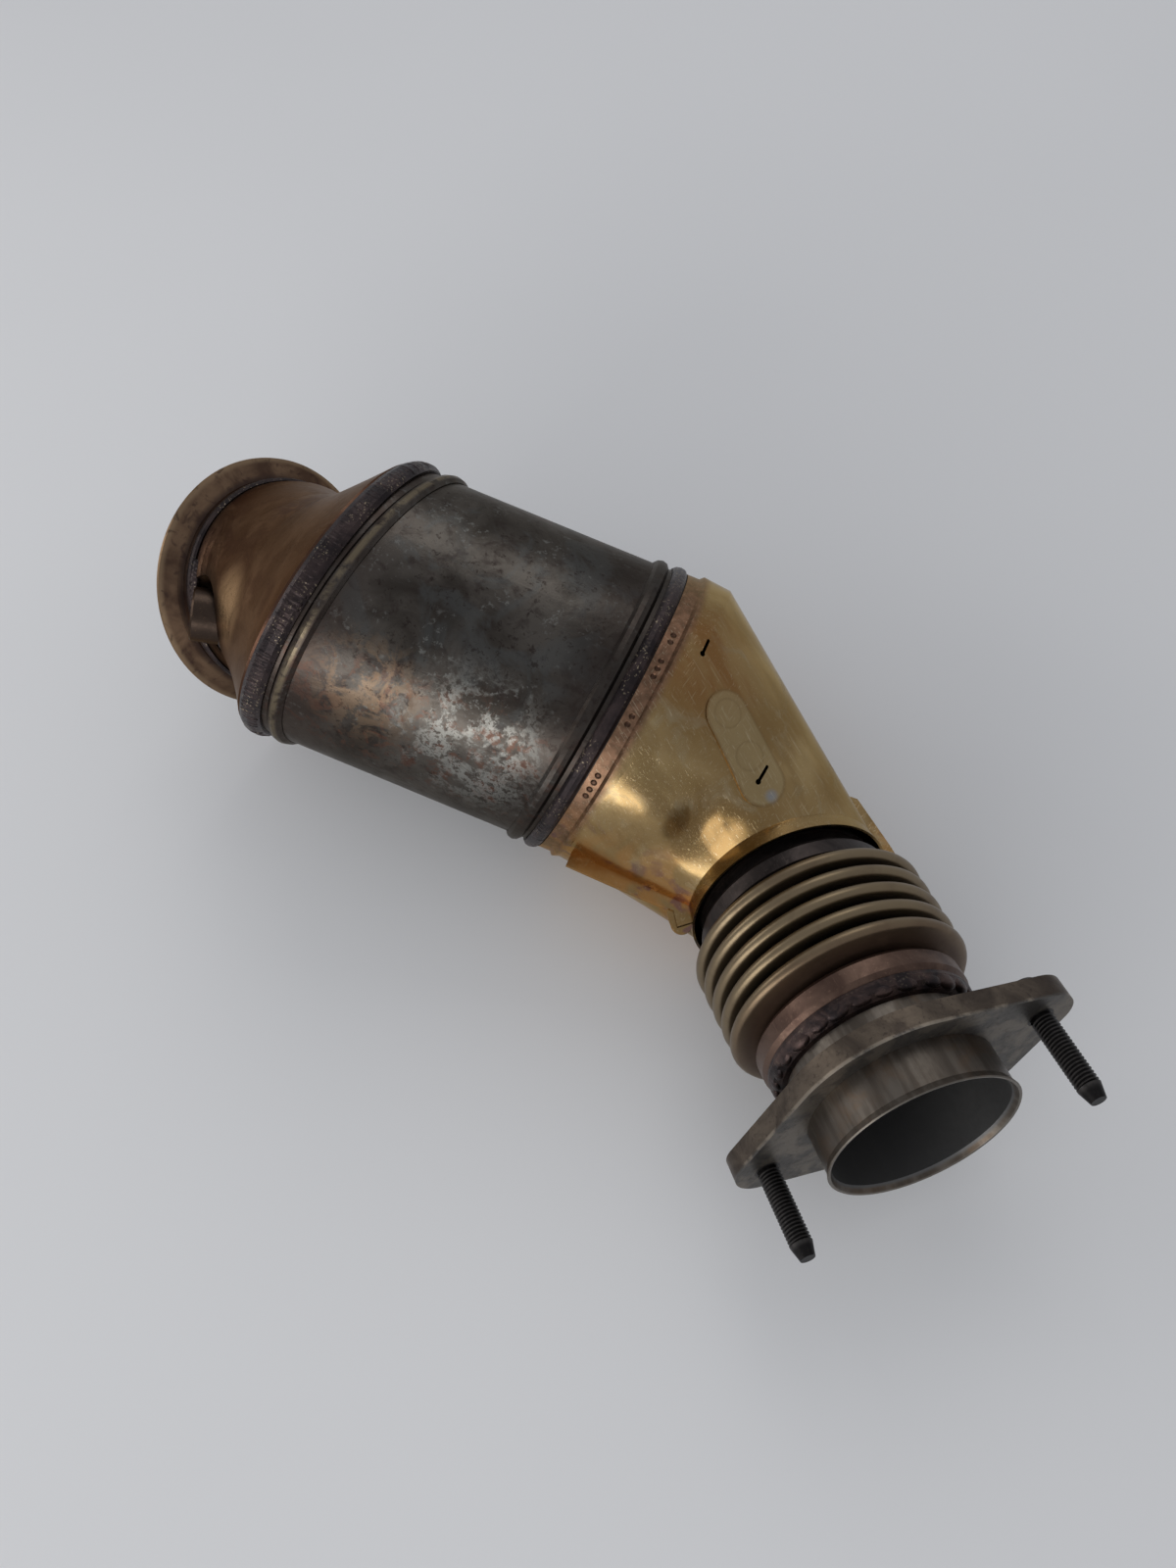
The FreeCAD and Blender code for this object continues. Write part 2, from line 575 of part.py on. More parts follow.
turned("bellows_rear_weld", outlet_frame, [
    ("sizes.tube_radius", "0.0 - sizes.rear_cuff_back"),
    ("sizes.tube_radius + sizes.fit_gap + sizes.bellows_ply + sizes.rear_collar_wall - 1.0", "0.0 - sizes.rear_cuff_back"),
    ("sizes.tube_radius + sizes.fit_gap + sizes.bellows_ply + sizes.rear_collar_wall - 0.6", "0.0 - sizes.rear_cuff_back + 1.6"),
    ("sizes.tube_radius + sizes.fit_gap + sizes.bellows_ply + sizes.rear_collar_wall - 1.4", "0.0 - sizes.rear_cuff_back + 3.6"),
    ("sizes.tube_radius + 1.6", "0.0 - sizes.rear_cuff_back + 5.6"),
    ("sizes.tube_radius", "0.0 - sizes.rear_cuff_back + 6.2"),
])
turned("flex_liner", outlet_frame, [
    ("sizes.tube_radius - sizes.neck_wall - sizes.fit_gap - 0.8", "0.0 - sizes.front_cuff_back"),
    ("sizes.tube_radius - sizes.neck_wall - sizes.fit_gap", "0.0 - sizes.front_cuff_back"),
    ("sizes.tube_radius - sizes.neck_wall - sizes.fit_gap",
     "0.0 - sizes.pipe_front_back - sizes.liner_float"),
    ("sizes.tube_radius - sizes.neck_wall - sizes.fit_gap - 0.8",
     "0.0 - sizes.pipe_front_back - sizes.liner_float"),
])

# ------------------------------------------------- outlet pipe and flange
turned("outlet_pipe", outlet_frame, [
    ("sizes.tube_radius - sizes.tube_wall", "0.0 - sizes.pipe_front_back"),
    ("sizes.tube_radius", "0.0 - sizes.pipe_front_back"),
    ("sizes.tube_radius", "0.0 - 2.5"),
    ("sizes.tube_radius + 0.8", "0.0 - 0.4"),
    ("sizes.tube_radius + 0.4", "0.0"),
    ("sizes.tube_radius - 0.3", "0.0 - 0.2"),
    ("sizes.tube_radius - sizes.tube_wall", "0.0 - 2.5"),
])


def flange_outline():
    """Two round ears joined to the round middle by straight tangents."""
    big = (size("tube_radius") + size("flange_margin"))
    small = size("ear_radius")
    reach = size("stud_offset")
    lean = math.acos((big - small) / reach)
    edges = []
    corners = []
    for turn in (1, -1):
        for sgn in (1, -1):
            a = turn * lean if sgn == 1 else math.pi - turn * lean
            corners.append((sgn, turn, Vec(big * math.cos(a), big * math.sin(a), 0),
                            Vec(sgn * reach + small * math.cos(a), small * math.sin(a), 0)))
    spot = {(sgn, turn): (mid, ear) for sgn, turn, mid, ear in corners}
    edges.append(Part.Arc(spot[(1, 1)][1], Vec(reach + small, 0, 0), spot[(1, -1)][1]).toShape())
    edges.append(Part.makeLine(spot[(1, -1)][1], spot[(1, -1)][0]))
    edges.append(Part.Arc(spot[(1, -1)][0], Vec(0, -big, 0), spot[(-1, -1)][0]).toShape())
    edges.append(Part.makeLine(spot[(-1, -1)][0], spot[(-1, -1)][1]))
    edges.append(Part.Arc(spot[(-1, -1)][1], Vec(-reach - small, 0, 0),
                          spot[(-1, 1)][1]).toShape())
    edges.append(Part.makeLine(spot[(-1, 1)][1], spot[(-1, 1)][0]))
    edges.append(Part.Arc(spot[(-1, 1)][0], Vec(0, big, 0), spot[(1, 1)][0]).toShape())
    edges.append(Part.makeLine(spot[(1, 1)][0], spot[(1, 1)][1]))
    return Part.Wire(Part.sortEdges(edges)[0])


plate = Part.Face(flange_outline()).extrude(Vec(0, 0, size("flange_plate")))
plate.translate(Vec(0, 0, -size("flange_face_back") - size("flange_plate")))
centre_hole = Part.makeCylinder(size("tube_radius") + size("fit_gap"), 40, Vec(0, 0, -50))
plate = plate.cut(centre_hole)
for sgn in (1, -1):
    hole = Part.makeCylinder(size("shank_radius") + size("fit_gap"), 40,
                             Vec(sgn * size("stud_offset"), 0, -50))
    plate = plate.cut(hole)
shaped("outlet_flange", plate, outlet_frame)

for name, sgn in (("stud_left", 1), ("stud_right", -1)):
    stud_frame = outlet_frame.multiply(FreeCAD.Placement(
        Vec(sgn * size("stud_offset"), 0, -size("flange_face_back")), FreeCAD.Rotation()))
    turned(name, stud_frame, [
        ("0.0", "0.0 - sizes.flange_plate - sizes.stud_head_height"),
        ("sizes.stud_head_radius - 1.2", "0.0 - sizes.flange_plate - sizes.stud_head_height"),
        ("sizes.stud_head_radius", "0.0 - sizes.flange_plate - sizes.stud_head_height + 1.4"),
        ("sizes.stud_head_radius", "0.0 - sizes.flange_plate"),
        ("sizes.shank_radius", "0.0 - sizes.flange_plate"),
        ("sizes.shank_radius", "0.0"),
        ("sizes.stud_radius", "0.0"),
        ("sizes.stud_radius", "sizes.stud_reach - sizes.dog_length"),
        ("sizes.dog_radius", "sizes.stud_reach"),
        ("0.0", "sizes.stud_reach"),
    ])

turned("flange_weld", outlet_frame, [
    ("sizes.tube_radius", "0.0 - sizes.flange_face_back - sizes.flange_plate"),
    ("sizes.tube_radius + 2.4", "0.0 - sizes.flange_face_back - sizes.flange_plate"),
    ("sizes.tube_radius + 1.0", "0.0 - sizes.flange_face_back - sizes.flange_plate - 1.2"),
    ("sizes.tube_radius", "0.0 - sizes.flange_face_back - sizes.flange_plate - 2.4"),
])

# ------------------------------------------------------------ rest and save
doc.recompute()
boxes = [obj.Shape.optimalBoundingBox(False, False) for name, obj, frame in parts]
lowest = min(b.ZMin for b in boxes)
middle_x = (min(b.XMin for b in boxes) + max(b.XMax for b in boxes)) / 2
middle_y = (min(b.YMin for b in boxes) + max(b.YMax for b in boxes)) / 2
rest.Base = Vec(-middle_x, -middle_y, -lowest)
for name, obj, frame in parts:
    obj.Placement = rest.multiply(frame)
doc.recompute()

os.makedirs("parts", exist_ok=True)
for name, obj, frame in parts:
    bad = [flag for flag in obj.State if flag in ("Invalid", "Error")]
    shape = obj.Shape
    if bad or shape.isNull() or not shape.isValid():
        raise SystemExit("%s is not a sound solid: %s" % (name, obj.State))
    print("%-22s %8.2f cm3 solids %d faces %d box %s" % (
        name, shape.Volume / 1000, len(shape.Solids), len(shape.Faces), shape.BoundBox))
    shape.exportStep("parts/%s.step" % name)
print("rest base", rest.Base)
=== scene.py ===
"""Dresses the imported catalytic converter: welds, bellows, threads, finishes, floor, light, camera.

Lengths are written in millimetres in the frame of the can, whose X runs along the can towards
the outlet and whose Z is roughly upwards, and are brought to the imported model's metres.
"""
import json
import math
import random

import bpy
from mathutils import Matrix, Vector


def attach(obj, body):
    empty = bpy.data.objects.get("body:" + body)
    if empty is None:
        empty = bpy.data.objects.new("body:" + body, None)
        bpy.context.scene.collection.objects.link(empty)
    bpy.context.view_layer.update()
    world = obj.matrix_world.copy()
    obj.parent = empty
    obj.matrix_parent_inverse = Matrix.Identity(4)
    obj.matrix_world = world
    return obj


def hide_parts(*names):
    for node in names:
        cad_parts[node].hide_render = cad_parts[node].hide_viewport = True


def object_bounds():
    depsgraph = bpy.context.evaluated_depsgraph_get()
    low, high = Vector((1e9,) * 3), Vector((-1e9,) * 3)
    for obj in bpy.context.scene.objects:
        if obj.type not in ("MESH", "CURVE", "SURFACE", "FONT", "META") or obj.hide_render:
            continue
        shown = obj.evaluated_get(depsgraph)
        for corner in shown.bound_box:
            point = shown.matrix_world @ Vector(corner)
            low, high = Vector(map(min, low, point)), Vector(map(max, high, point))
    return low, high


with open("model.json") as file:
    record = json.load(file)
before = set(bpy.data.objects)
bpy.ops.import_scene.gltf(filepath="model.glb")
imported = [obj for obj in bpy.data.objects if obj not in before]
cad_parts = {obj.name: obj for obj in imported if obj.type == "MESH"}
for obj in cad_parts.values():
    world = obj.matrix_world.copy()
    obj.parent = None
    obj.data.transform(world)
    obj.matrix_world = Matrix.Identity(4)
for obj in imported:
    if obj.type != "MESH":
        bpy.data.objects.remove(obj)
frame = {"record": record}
cad_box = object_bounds()
MM = 0.001

# ------------------------------------------------------------------ places
REST_TILT = math.radians(16.31)
INLET_CENTRE = Vector((-72.0, 25.7, -57.6))
FLANGE_FACE_BACK = 16.0
BOSS_HALF_LENGTH = 12.0
CAN_RADIUS = 59.7
CAN_FRONT = -19.0
CAN_BACK = 92.0
FRONT_PLANE = Vector((0.980, -0.170, -0.100)).normalized()
RIDGE_PLANE = Vector((0.975, -0.205, -0.060)).normalized()
FRONT_RIDGE = -7.0
BACK_PLANE = Vector((0.989, -0.050, -0.140)).normalized()
EAR = Vector((-0.568, -0.669, -0.479))
TUBE_RADIUS = 33.0
SLEEVE_CLEARANCE = 0.05
STUD_OFFSET = 50.8
COLLAR_RADIUS = 60.55
BELLOWS_HALF_WALL = 0.4
BELLOWS_CREST = 44.4
BELLOWS_ROOT = 36.0
BELLOWS_PITCH = 7.8
BELLOWS_CRESTS = 5
LAST_CREST_BACK = 52.9
FRONT_CUFF_BACK = 98.0
REAR_CUFF_BACK = 38.0
SHOULDER = 1.0
BOX_MARGIN = 0.25
STAKE_ANGLES = (-4, -1, 7, 10, 13, 28, 31, 51, 54, 57, 60)

mounts = {mount["name"]: mount for mount in frame["record"]["mounts"]}
turn = Matrix.Rotation(REST_TILT, 3, "Y")
base = Vector(mounts["inlet_flange_face"]["pos_m"]) - turn @ (INLET_CENTRE * MM)


def spot(x, y, z):
    """World place of a point of the can frame given in millimetres."""
    return base + turn @ (Vector((x, y, z)) * MM)


def heading(x, y, z):
    """World direction of a direction of the can frame."""
    return (turn @ Vector((x, y, z))).normalized()


def place_at(origin, axis, side):
    """Matrix whose Z is the axis and whose X is nearest to side."""
    x = (side - axis * side.dot(axis)).normalized()
    y = axis.cross(x)
    return Matrix.Translation(origin) @ Matrix((x, y, axis)).transposed().to_4x4()


can_axis = heading(1, 0, 0)
inlet_axis = Vector(mounts["inlet_flange_face"]["axis"])
inlet_spot = Vector(mounts["inlet_flange_face"]["pos_m"])
outlet_axis = Vector(mounts["outlet_bore"]["axis"])
mouth = Vector(mounts["outlet_studs"]["pos_m"]) + outlet_axis * FLANGE_FACE_BACK * MM
ear_side = turn @ EAR
outlet_place = place_at(mouth, outlet_axis, ear_side)
boss_axis = Vector(mounts["sensor_thread"]["axis"])
boss_spot = Vector(mounts["sensor_thread"]["pos_m"]) + boss_axis * BOSS_HALF_LENGTH * MM
PAD_TOP = spot(134.7, -13.1, 54.0)
PAD_FOOT = spot(155.5, -27.7, 44.1)


def can_ring(x, plane, radius):
    """Ring round the can on a tilted plane."""
    def at(a):
        y, z = -radius * math.sin(a), radius * math.cos(a)
        point = spot(x - (plane.y * y + plane.z * z) / plane.x, y, z)
        return point, heading(0, y, z), can_axis
    return at


# ------------------------------------------------------------ shader maths
class Wire:
    """One output of a node, on which sums can be written."""

    def __init__(self, finish, socket):
        self.finish = finish
        self.socket = socket

    def maths(self, operation, *values):
        return self.finish.node("ShaderNodeMath", {"operation": operation}, *values)

    def __add__(self, other):
        return self.maths("ADD", self, other)

    def __radd__(self, other):
        return self.maths("ADD", other, self)

    def __sub__(self, other):
        return self.maths("SUBTRACT", self, other)

    def __rsub__(self, other):
        return self.maths("SUBTRACT", other, self)

    def __mul__(self, other):
        return self.maths("MULTIPLY", self, other)

    def __truediv__(self, other):
        return self.maths("DIVIDE", self, other)

    def size(self):
        return self.finish.node("ShaderNodeMath", {"operation": "ABSOLUTE"}, self)


class Finish:
    """A material that is written as sums of masks, noises and colours."""

    def __init__(self, name):
        self.material = bpy.data.materials.new(name)
        self.material.use_nodes = True
        self.tree = self.material.node_tree
        self.shader = self.tree.nodes["Principled BSDF"]
        self.here = self.node("ShaderNodeTexCoord", {}, out="Object")

    def node(self, kind, settings, *values, out=0, **named):
        made = self.tree.nodes.new(kind)
        for key, value in settings.items():
            setattr(made, key, value)
        sockets = [(made.inputs[n], value) for n, value in enumerate(values)]
        sockets += [(made.inputs[key.replace("_", " ")], value) for key, value in named.items()]
        for socket, value in sockets:
            if isinstance(value, Wire):
                self.tree.links.new(value.socket, socket)
            elif value is not None:
                socket.default_value = value
        return Wire(self, made.outputs[out])

    def mix(self, low, high, share):
        made = self.tree.nodes.new("ShaderNodeMix")
        made.data_type = "RGBA"
        for socket, value in ((made.inputs[0], share), (made.inputs[6], low), (made.inputs[7], high)):
            if isinstance(value, Wire):
                self.tree.links.new(value.socket, socket)
            elif isinstance(value, tuple):
                socket.default_value = (*value, 1.0)
            else:
                socket.default_value = value
        return Wire(self, made.outputs[2])

    def vector(self, operation, *values, out=0):
        return self.node("ShaderNodeVectorMath", {"operation": operation}, *values, out=out)

    def along(self, origin, axis):
        """Millimetres along an axis from its origin."""
        gone = self.vector("SUBTRACT", self.here, tuple(origin))
        return self.vector("DOT_PRODUCT", gone, tuple(axis), out="Value") * 1000

    def off(self, origin, axis):
        """Millimetres away from an axis."""
        gone = self.vector("SUBTRACT", self.here, tuple(origin))
        side = self.vector("CROSS_PRODUCT", gone, tuple(axis))
        return self.vector("LENGTH", side, out="Value") * 1000

    def step(self, value, low, high):
        """Smooth rise from 0 at low to 1 at high."""
        return self.node("ShaderNodeMapRange", {"interpolation_type": "SMOOTHSTEP"},
                         value, low, high, 0.0, 1.0)

    def near(self, point, inner, outer):
        """Mask that is 1 within inner millimetres of a point and 0 past outer."""
        gap = self.vector("DISTANCE", self.here, tuple(point), out="Value") * 1000
        return 1 - self.step(gap, inner, outer)

    def from_run(self, start, finish):
        """Millimetres away from the straight run between two points."""
        run = finish - start
        gone = self.vector("SUBTRACT", self.here, tuple(start))
        share = self.vector("DOT_PRODUCT", gone, tuple(run / run.length_squared), out="Value")
        share = self.node("ShaderNodeClamp", {}, share, 0.0, 1.0)
        foot = self.vector("SCALE", tuple(run), out=0)
        self.tree.links.new(share.socket, foot.socket.node.inputs["Scale"])
        return self.vector("DISTANCE", gone, foot, out="Value") * 1000

    def noise(self, size, detail=4.0, roughness=0.55, distortion=0.0, stretch=None):
        """Noise whose grain is about size millimetres, drawn out along a stretch axis."""
        at = self.here
        if stretch is not None:
            axis, factor = stretch
            run = self.vector("DOT_PRODUCT", at, tuple(axis), out="Value")
            pulled = self.vector("SCALE", tuple(axis), out=0)
            self.tree.links.new((run * (1 - 1 / factor)).socket,
                                pulled.socket.node.inputs["Scale"])
            at = self.vector("SUBTRACT", at, pulled)
        return self.node("ShaderNodeTexNoise", {}, Vector=at, Scale=1000 / size, Detail=detail,
                         Roughness=roughness, Distortion=distortion)

    def largest(self, values):
        """The largest of several masks."""
        most = values[0]
        for value in values[1:]:
            most = self.node("ShaderNodeMath", {"operation": "MAXIMUM"}, most, value)
        return most

    def scratches(self, axis, length, width, share):
        """Thin streaks along an axis, over a share of the surface."""
        lines = self.noise(width, 2.0, 0.5, 0.0, (axis, length / width))
        return self.step(lines, 1 - share, 1 - share + 0.05)

    def bump(self, height, depth, strength=1.0, under=None):
        made = self.node("ShaderNodeBump", {}, Strength=strength, Distance=depth * MM,
                         Height=height)
        if under is not None:
            self.tree.links.new(under.socket, made.socket.node.inputs["Normal"])
        return made

    def finish(self, colour, roughness, metallic, normal=None, edge=(1.0, 1.0, 1.0)):
        for key, value in (("Base Color", colour), ("Roughness", roughness),
                           ("Metallic", metallic), ("Normal", normal)):
            if isinstance(value, Wire):
                self.tree.links.new(value.socket, self.shader.inputs[key])
            elif isinstance(value, tuple):
                self.shader.inputs[key].default_value = (*value, 1.0)
            elif value is not None:
                self.shader.inputs[key].default_value = value
        self.shader.inputs["Specular Tint"].default_value = (*edge, 1.0)
        return self.material


# ---------------------------------------------------------------- finishes
def can_finish():
    """Dark heat-grey can: mottled, worn to bright specks in patches, rusty along its flank, with a
    painted window reflection over a bare patch low on its front and a painted highlight along the
    front ridge.
    """
    f = Finish("can_heat_grey")
    cloud = f.noise(30, 5.0, 0.6, 0.6)
    blotch = f.noise(8, 5.0, 0.65, 0.5)
    crumbs = f.noise(2.4, 6.0, 0.72, 0.2)
    along = f.along(spot(0, 0, 0), can_axis)
    height = f.along(spot(0, 0, 0), heading(0, 0, 1))
    colour = f.mix((0.040, 0.034, 0.029), (0.088, 0.078, 0.068), f.step(cloud, 0.36, 0.64))
    colour = f.mix(colour, (0.030, 0.022, 0.020), f.step(blotch, 0.50, 0.66) * 0.6)
    cool = f.step(f.noise(21, 4.0, 0.6, 0.9), 0.48, 0.62)
    cool = cool * f.step(height, 20, 45)
    colour = f.mix(colour, (0.084, 0.089, 0.088), cool * 0.45)
    flank = f.step(height, -8, 12) * (1 - f.step(height, 34, 50))
    rust = f.step(f.noise(7, 6.0, 0.72, 0.7), 0.52, 0.60) * flank
    colour = f.mix(colour, (0.105, 0.050, 0.034), rust * 0.65)
    # bare metal patch low on the front, brightened as a painted reflection of the front window
    bare_and_window_reflection = f.step(f.noise(20, 6.0, 0.72, 0.5), 0.44, 0.54) * f.near(spot(55, -50, 27), 12, 38)
    colour = f.mix(colour, (0.265, 0.262, 0.240), bare_and_window_reflection * f.step(crumbs, 0.42, 0.52) * 0.75)
    warm = f.step(f.noise(11, 6.0, 0.70, 0.6), 0.46, 0.56) * f.near(spot(12, -47, 32), 8, 30)
    colour = f.mix(colour, (0.185, 0.125, 0.080), warm * 0.6)
    front_edge_highlight = f.step(f.noise(17, 3.0, 0.6, 0.4), 0.46, 0.60)
    specks = f.step(crumbs, 0.545, 0.62) * front_edge_highlight
    colour = f.mix(colour, (0.210, 0.212, 0.200), specks * 0.50)
    dark = f.step(crumbs, 0.555, 0.62) * (1 - front_edge_highlight)
    colour = f.mix(colour, (0.022, 0.016, 0.014), dark * 0.65)
    ends = f.step(along, 66, 88)
    colour = f.mix(colour, (0.030, 0.022, 0.019), ends * 0.60)
    ridge = f.along(spot(FRONT_RIDGE, 0, 0), heading(*RIDGE_PLANE)).size()
    front = 1 - f.step(along, -14, 14)
    colour = f.mix(colour, (0.050, 0.034, 0.029), front * 0.55)
    # painted highlight: a golden line of reflected light along the crest of the front ridge, kept a
    # little smoother
    ridge_highlight = 1 - f.step(ridge, 0.5, 1.7)
    colour = f.mix(colour, (0.230, 0.185, 0.120), ridge_highlight * f.step(blotch, 0.40, 0.54) * 0.6)
    rough = 0.25 + blotch * 0.18 + specks * 0.12 - ridge_highlight * 0.05
    scores = f.scratches(can_axis, 34, 0.5, 0.34)
    rough = rough - scores * 0.07
    normal = f.bump(crumbs, 0.06, 0.7, f.bump(blotch, 0.16, 0.5, f.bump(cloud, 0.8, 0.45)))
    return f.finish(colour, rough, 0.92, normal, edge=(0.62, 0.60, 0.57))


def inlet_finish():
    """Bronze-brown stamped sheet with purple heat tints and a painted golden highlight."""
    f = Finish("inlet_bronze")
    cloud = f.noise(22, 4.0, 0.6, 0.8)
    fine = f.noise(2.2, 5.0, 0.65)
    colour = f.mix((0.080, 0.045, 0.031), (0.135, 0.080, 0.052), f.step(cloud, 0.36, 0.64))
    purple = f.step(f.noise(30, 3.0, 0.5, 1.2), 0.52, 0.64)
    colour = f.mix(colour, (0.060, 0.032, 0.026), purple * 0.6)
    stain = f.step(f.noise(5, 4.0, 0.6, 0.9), 0.40, 0.56) * f.near(spot(-50, 28, 25), 10, 22)
    colour = f.mix(colour, (0.045, 0.024, 0.030), stain * 0.75)
    # painted highlight: a bright golden spot of reflected light on the cone, also smoother
    painted_gold_highlight = f.near(spot(-56, -23, 3), 2, 20)
    colour = f.mix(colour, (0.560, 0.370, 0.210), painted_gold_highlight * 0.8)
    to_weld = f.step(f.along(spot(CAN_FRONT, 0, 0), heading(*FRONT_PLANE)), -16, -4)
    colour = f.mix(colour, (0.070, 0.034, 0.022), to_weld * 0.7)
    boss = f.near(boss_spot - boss_axis * 10 * MM, 15, 24)
    colour = f.mix(colour, (0.040, 0.031, 0.026), boss * 0.8)
    spots = f.step(fine, 0.57, 0.70)
    colour = f.mix(colour, (0.040, 0.026, 0.022), spots * 0.5)
    scores = f.scratches(heading(0.3, 0.7, 0.6), 24, 0.5, 0.35)
    colour = f.mix(colour, (0.260, 0.170, 0.100), scores * 0.20)
    rough = 0.25 + fine * 0.16 - painted_gold_highlight * 0.08
    normal = f.bump(fine, 0.05, 0.6, f.bump(cloud, 1.0, 0.5))
    return f.finish(colour, rough, 0.94, normal, edge=(0.60, 0.50, 0.42))


def rim_finish():
    """Turned clamp flange: bronze, with circular tool marks and a brighter outer edge."""
    f = Finish("rim_bronze")
    cloud = f.noise(16, 4.0, 0.6, 0.6)
    fine = f.noise(2.0, 5.0, 0.65)
    off = f.off(inlet_spot, inlet_axis)
    colour = f.mix((0.076, 0.045, 0.031), (0.170, 0.108, 0.068), f.step(cloud, 0.36, 0.66))
    edge = f.step(off, 52.5, 54.6)
    colour = f.mix(colour, (0.300, 0.210, 0.130), edge * 0.6)
    inner = 1 - f.step(off, 46.5, 49.0)
    colour = f.mix(colour, (0.036, 0.024, 0.022), inner * 0.75)
    dark = f.step(f.noise(6, 4.0, 0.6, 0.8), 0.54, 0.68)
    colour = f.mix(colour, (0.040, 0.024, 0.022), dark * 0.6)
    rings = f.node("ShaderNodeMath", {"operation": "SINE"}, off * 9.0)
    rough = 0.28 + fine * 0.20
    return f.finish(colour, rough, 0.94, f.bump(rings, 0.010, 0.5, f.bump(fine, 0.05, 0.6)),
                    edge=(0.66, 0.52, 0.40))


def weld_finish(name, tint, glint_share):
    """Dark rippled weld with small painted golden glints."""
    f = Finish(name)
    fine = f.noise(1.2, 4.0, 0.7)
    cloud = f.noise(9, 3.0, 0.6, 0.6)
    # painted glints: small bright golden specks of reflected light on the weld
    glint_mask = f.step(f.noise(0.9, 2.0, 0.5), 0.60, 0.67) * f.step(f.noise(12, 2.0, 0.5), 0.44, 0.58)
    colour = f.mix((0.022, 0.017, 0.018), tint, f.step(cloud, 0.34, 0.68))
    colour = f.mix(colour, (0.430, 0.350, 0.240), glint_mask * glint_share)
    normal = f.bump(fine, 0.16, 0.9, f.bump(cloud, 0.5, 0.6))
    return f.finish(colour, 0.28 + fine * 0.26, 0.86, normal)


def shield_finish():
    """Brass-gold heat shield: copper collar, rainbow tints by the seam, pad, folds and scratches."""
    f = Finish("shield_gold")
    from_collar = f.along(spot(CAN_BACK, 0, 0), heading(*BACK_PLANE))
    cloud = f.noise(44, 2.0, 0.45, 0.4)
    fine = f.noise(3.0, 5.0, 0.62)
    smear = f.noise(9, 4.0, 0.6, 0.0, (heading(0.75, -0.55, -0.35), 4.0))
    colour = f.mix((0.250, 0.160, 0.066), (0.380, 0.270, 0.128), f.step(cloud, 0.34, 0.62))
    haze = f.step(f.noise(16, 4.0, 0.6, 1.0), 0.52, 0.70)
    colour = f.mix(colour, (0.330, 0.280, 0.185), haze * 0.45)
    colour = f.mix(colour, (0.210, 0.130, 0.052), f.step(smear, 0.44, 0.62) * 0.5)
    brown = f.near(spot(121, 2, 60), 8, 32) * (0.45 + f.step(smear, 0.34, 0.56) * 0.55)
    colour = f.mix(colour, (0.225, 0.105, 0.036), brown * 0.75)
    in_pad = f.from_run(PAD_TOP, PAD_FOOT)
    colour = f.mix(colour, (0.350, 0.280, 0.155), (1 - f.step(in_pad, 7.6, 8.6)) * 0.45)
    ring_radius = 5.2
    lines = []
    for centre in (PAD_TOP, PAD_TOP + (PAD_FOOT - PAD_TOP) * 0.62):
        gap = f.vector("DISTANCE", f.here, tuple(centre), out="Value") * 1000 - ring_radius
        lines.append(1 - f.step(gap.size(), 0.15, 0.7))
    rings = f.largest(lines)
    rim = 1 - f.step((in_pad - 8.4).size(), 0.2, 1.1)
    # painted shade along the pressed rings and the pad's rim
    colour = f.mix(colour, (0.170, 0.110, 0.050), rings * 0.25 + rim * 0.35)
    collar = 1 - f.step(from_collar, 9.0, 13.0)
    copper = f.mix((0.125, 0.072, 0.048), (0.215, 0.120, 0.078), f.step(fine, 0.36, 0.64))
    colour = f.mix(colour, copper, collar * 0.92)
    low = 1 - f.step(f.along(spot(0, 0, 0), heading(0, 0, 1)), 2, 30)
    tint = f.noise(24, 2.0, 0.5, 1.2)
    colour = f.mix(colour, (0.420, 0.200, 0.060), low * f.step(tint, 0.40, 0.58) * 0.70)
    purple = f.step(f.noise(15, 2.0, 0.5, 1.6), 0.55, 0.66)
    colour = f.mix(colour, (0.150, 0.075, 0.095), low * purple * 0.65)
    smudge = f.near(spot(160, -30, 41), 1.5, 3.6)
    colour = f.mix(colour, (0.240, 0.250, 0.270), smudge * 0.8)
    clip = f.near(spot(160.5, -70.0, -11.0), 5.5, 8.5)
    colour = f.mix(colour, (0.090, 0.078, 0.080), clip * 0.85)
    scores = f.scratches(heading(0.8, -0.5, -0.3), 22, 0.45, 0.365)
    nicks = f.scratches(heading(0.2, 0.9, 0.1), 9, 0.4, 0.35)
    colour = f.mix(colour, (0.640, 0.560, 0.400), scores * 0.25 + nicks * 0.25)
    rough = 0.17 + fine * 0.08 + haze * 0.14 + collar * 0.16 + brown * 0.06
    on_collar = can_ring(CAN_BACK + 6.2, BACK_PLANE, COLLAR_RADIUS)
    stakes = [on_collar(math.radians(angle))[0] for angle in STAKE_ANGLES]
    pressed = f.largest([f.near(stake, 0.5, 1.3) for stake in stakes])
    # painted shade: the staked dimples on the collar are darkened where shade falls in them
    colour = f.mix(colour, (0.040, 0.020, 0.015), pressed * 0.8)
    foot = f.near(spot(160, -36, 39), 14, 24)
    fold = f.step(f.along(spot(156, -35, 41), heading(0.62, -0.60, -0.50)), -4.0, 4.0) * foot
    bulge = f.near(spot(118, -50, 32), 2, 20)
    hollow = f.near(spot(146, -50, 32), 3, 19)
    normal = f.bump(1 - pressed, 0.6, 1.0, f.bump(scores + nicks, -0.02, 0.5))
    normal = f.bump(1 - f.step(in_pad, 7.0, 9.0), 0.4, 0.7, f.bump(rings, -0.15, 0.7, normal))
    normal = f.bump(fold, 1.0, 0.8, f.bump(bulge - hollow, 2.2, 0.9, normal))
    normal = f.bump(fine, 0.008, 0.5, f.bump(cloud, 2.4, 0.6, normal))
    return f.finish(colour, rough, 0.95, normal, edge=(0.95, 0.84, 0.62))


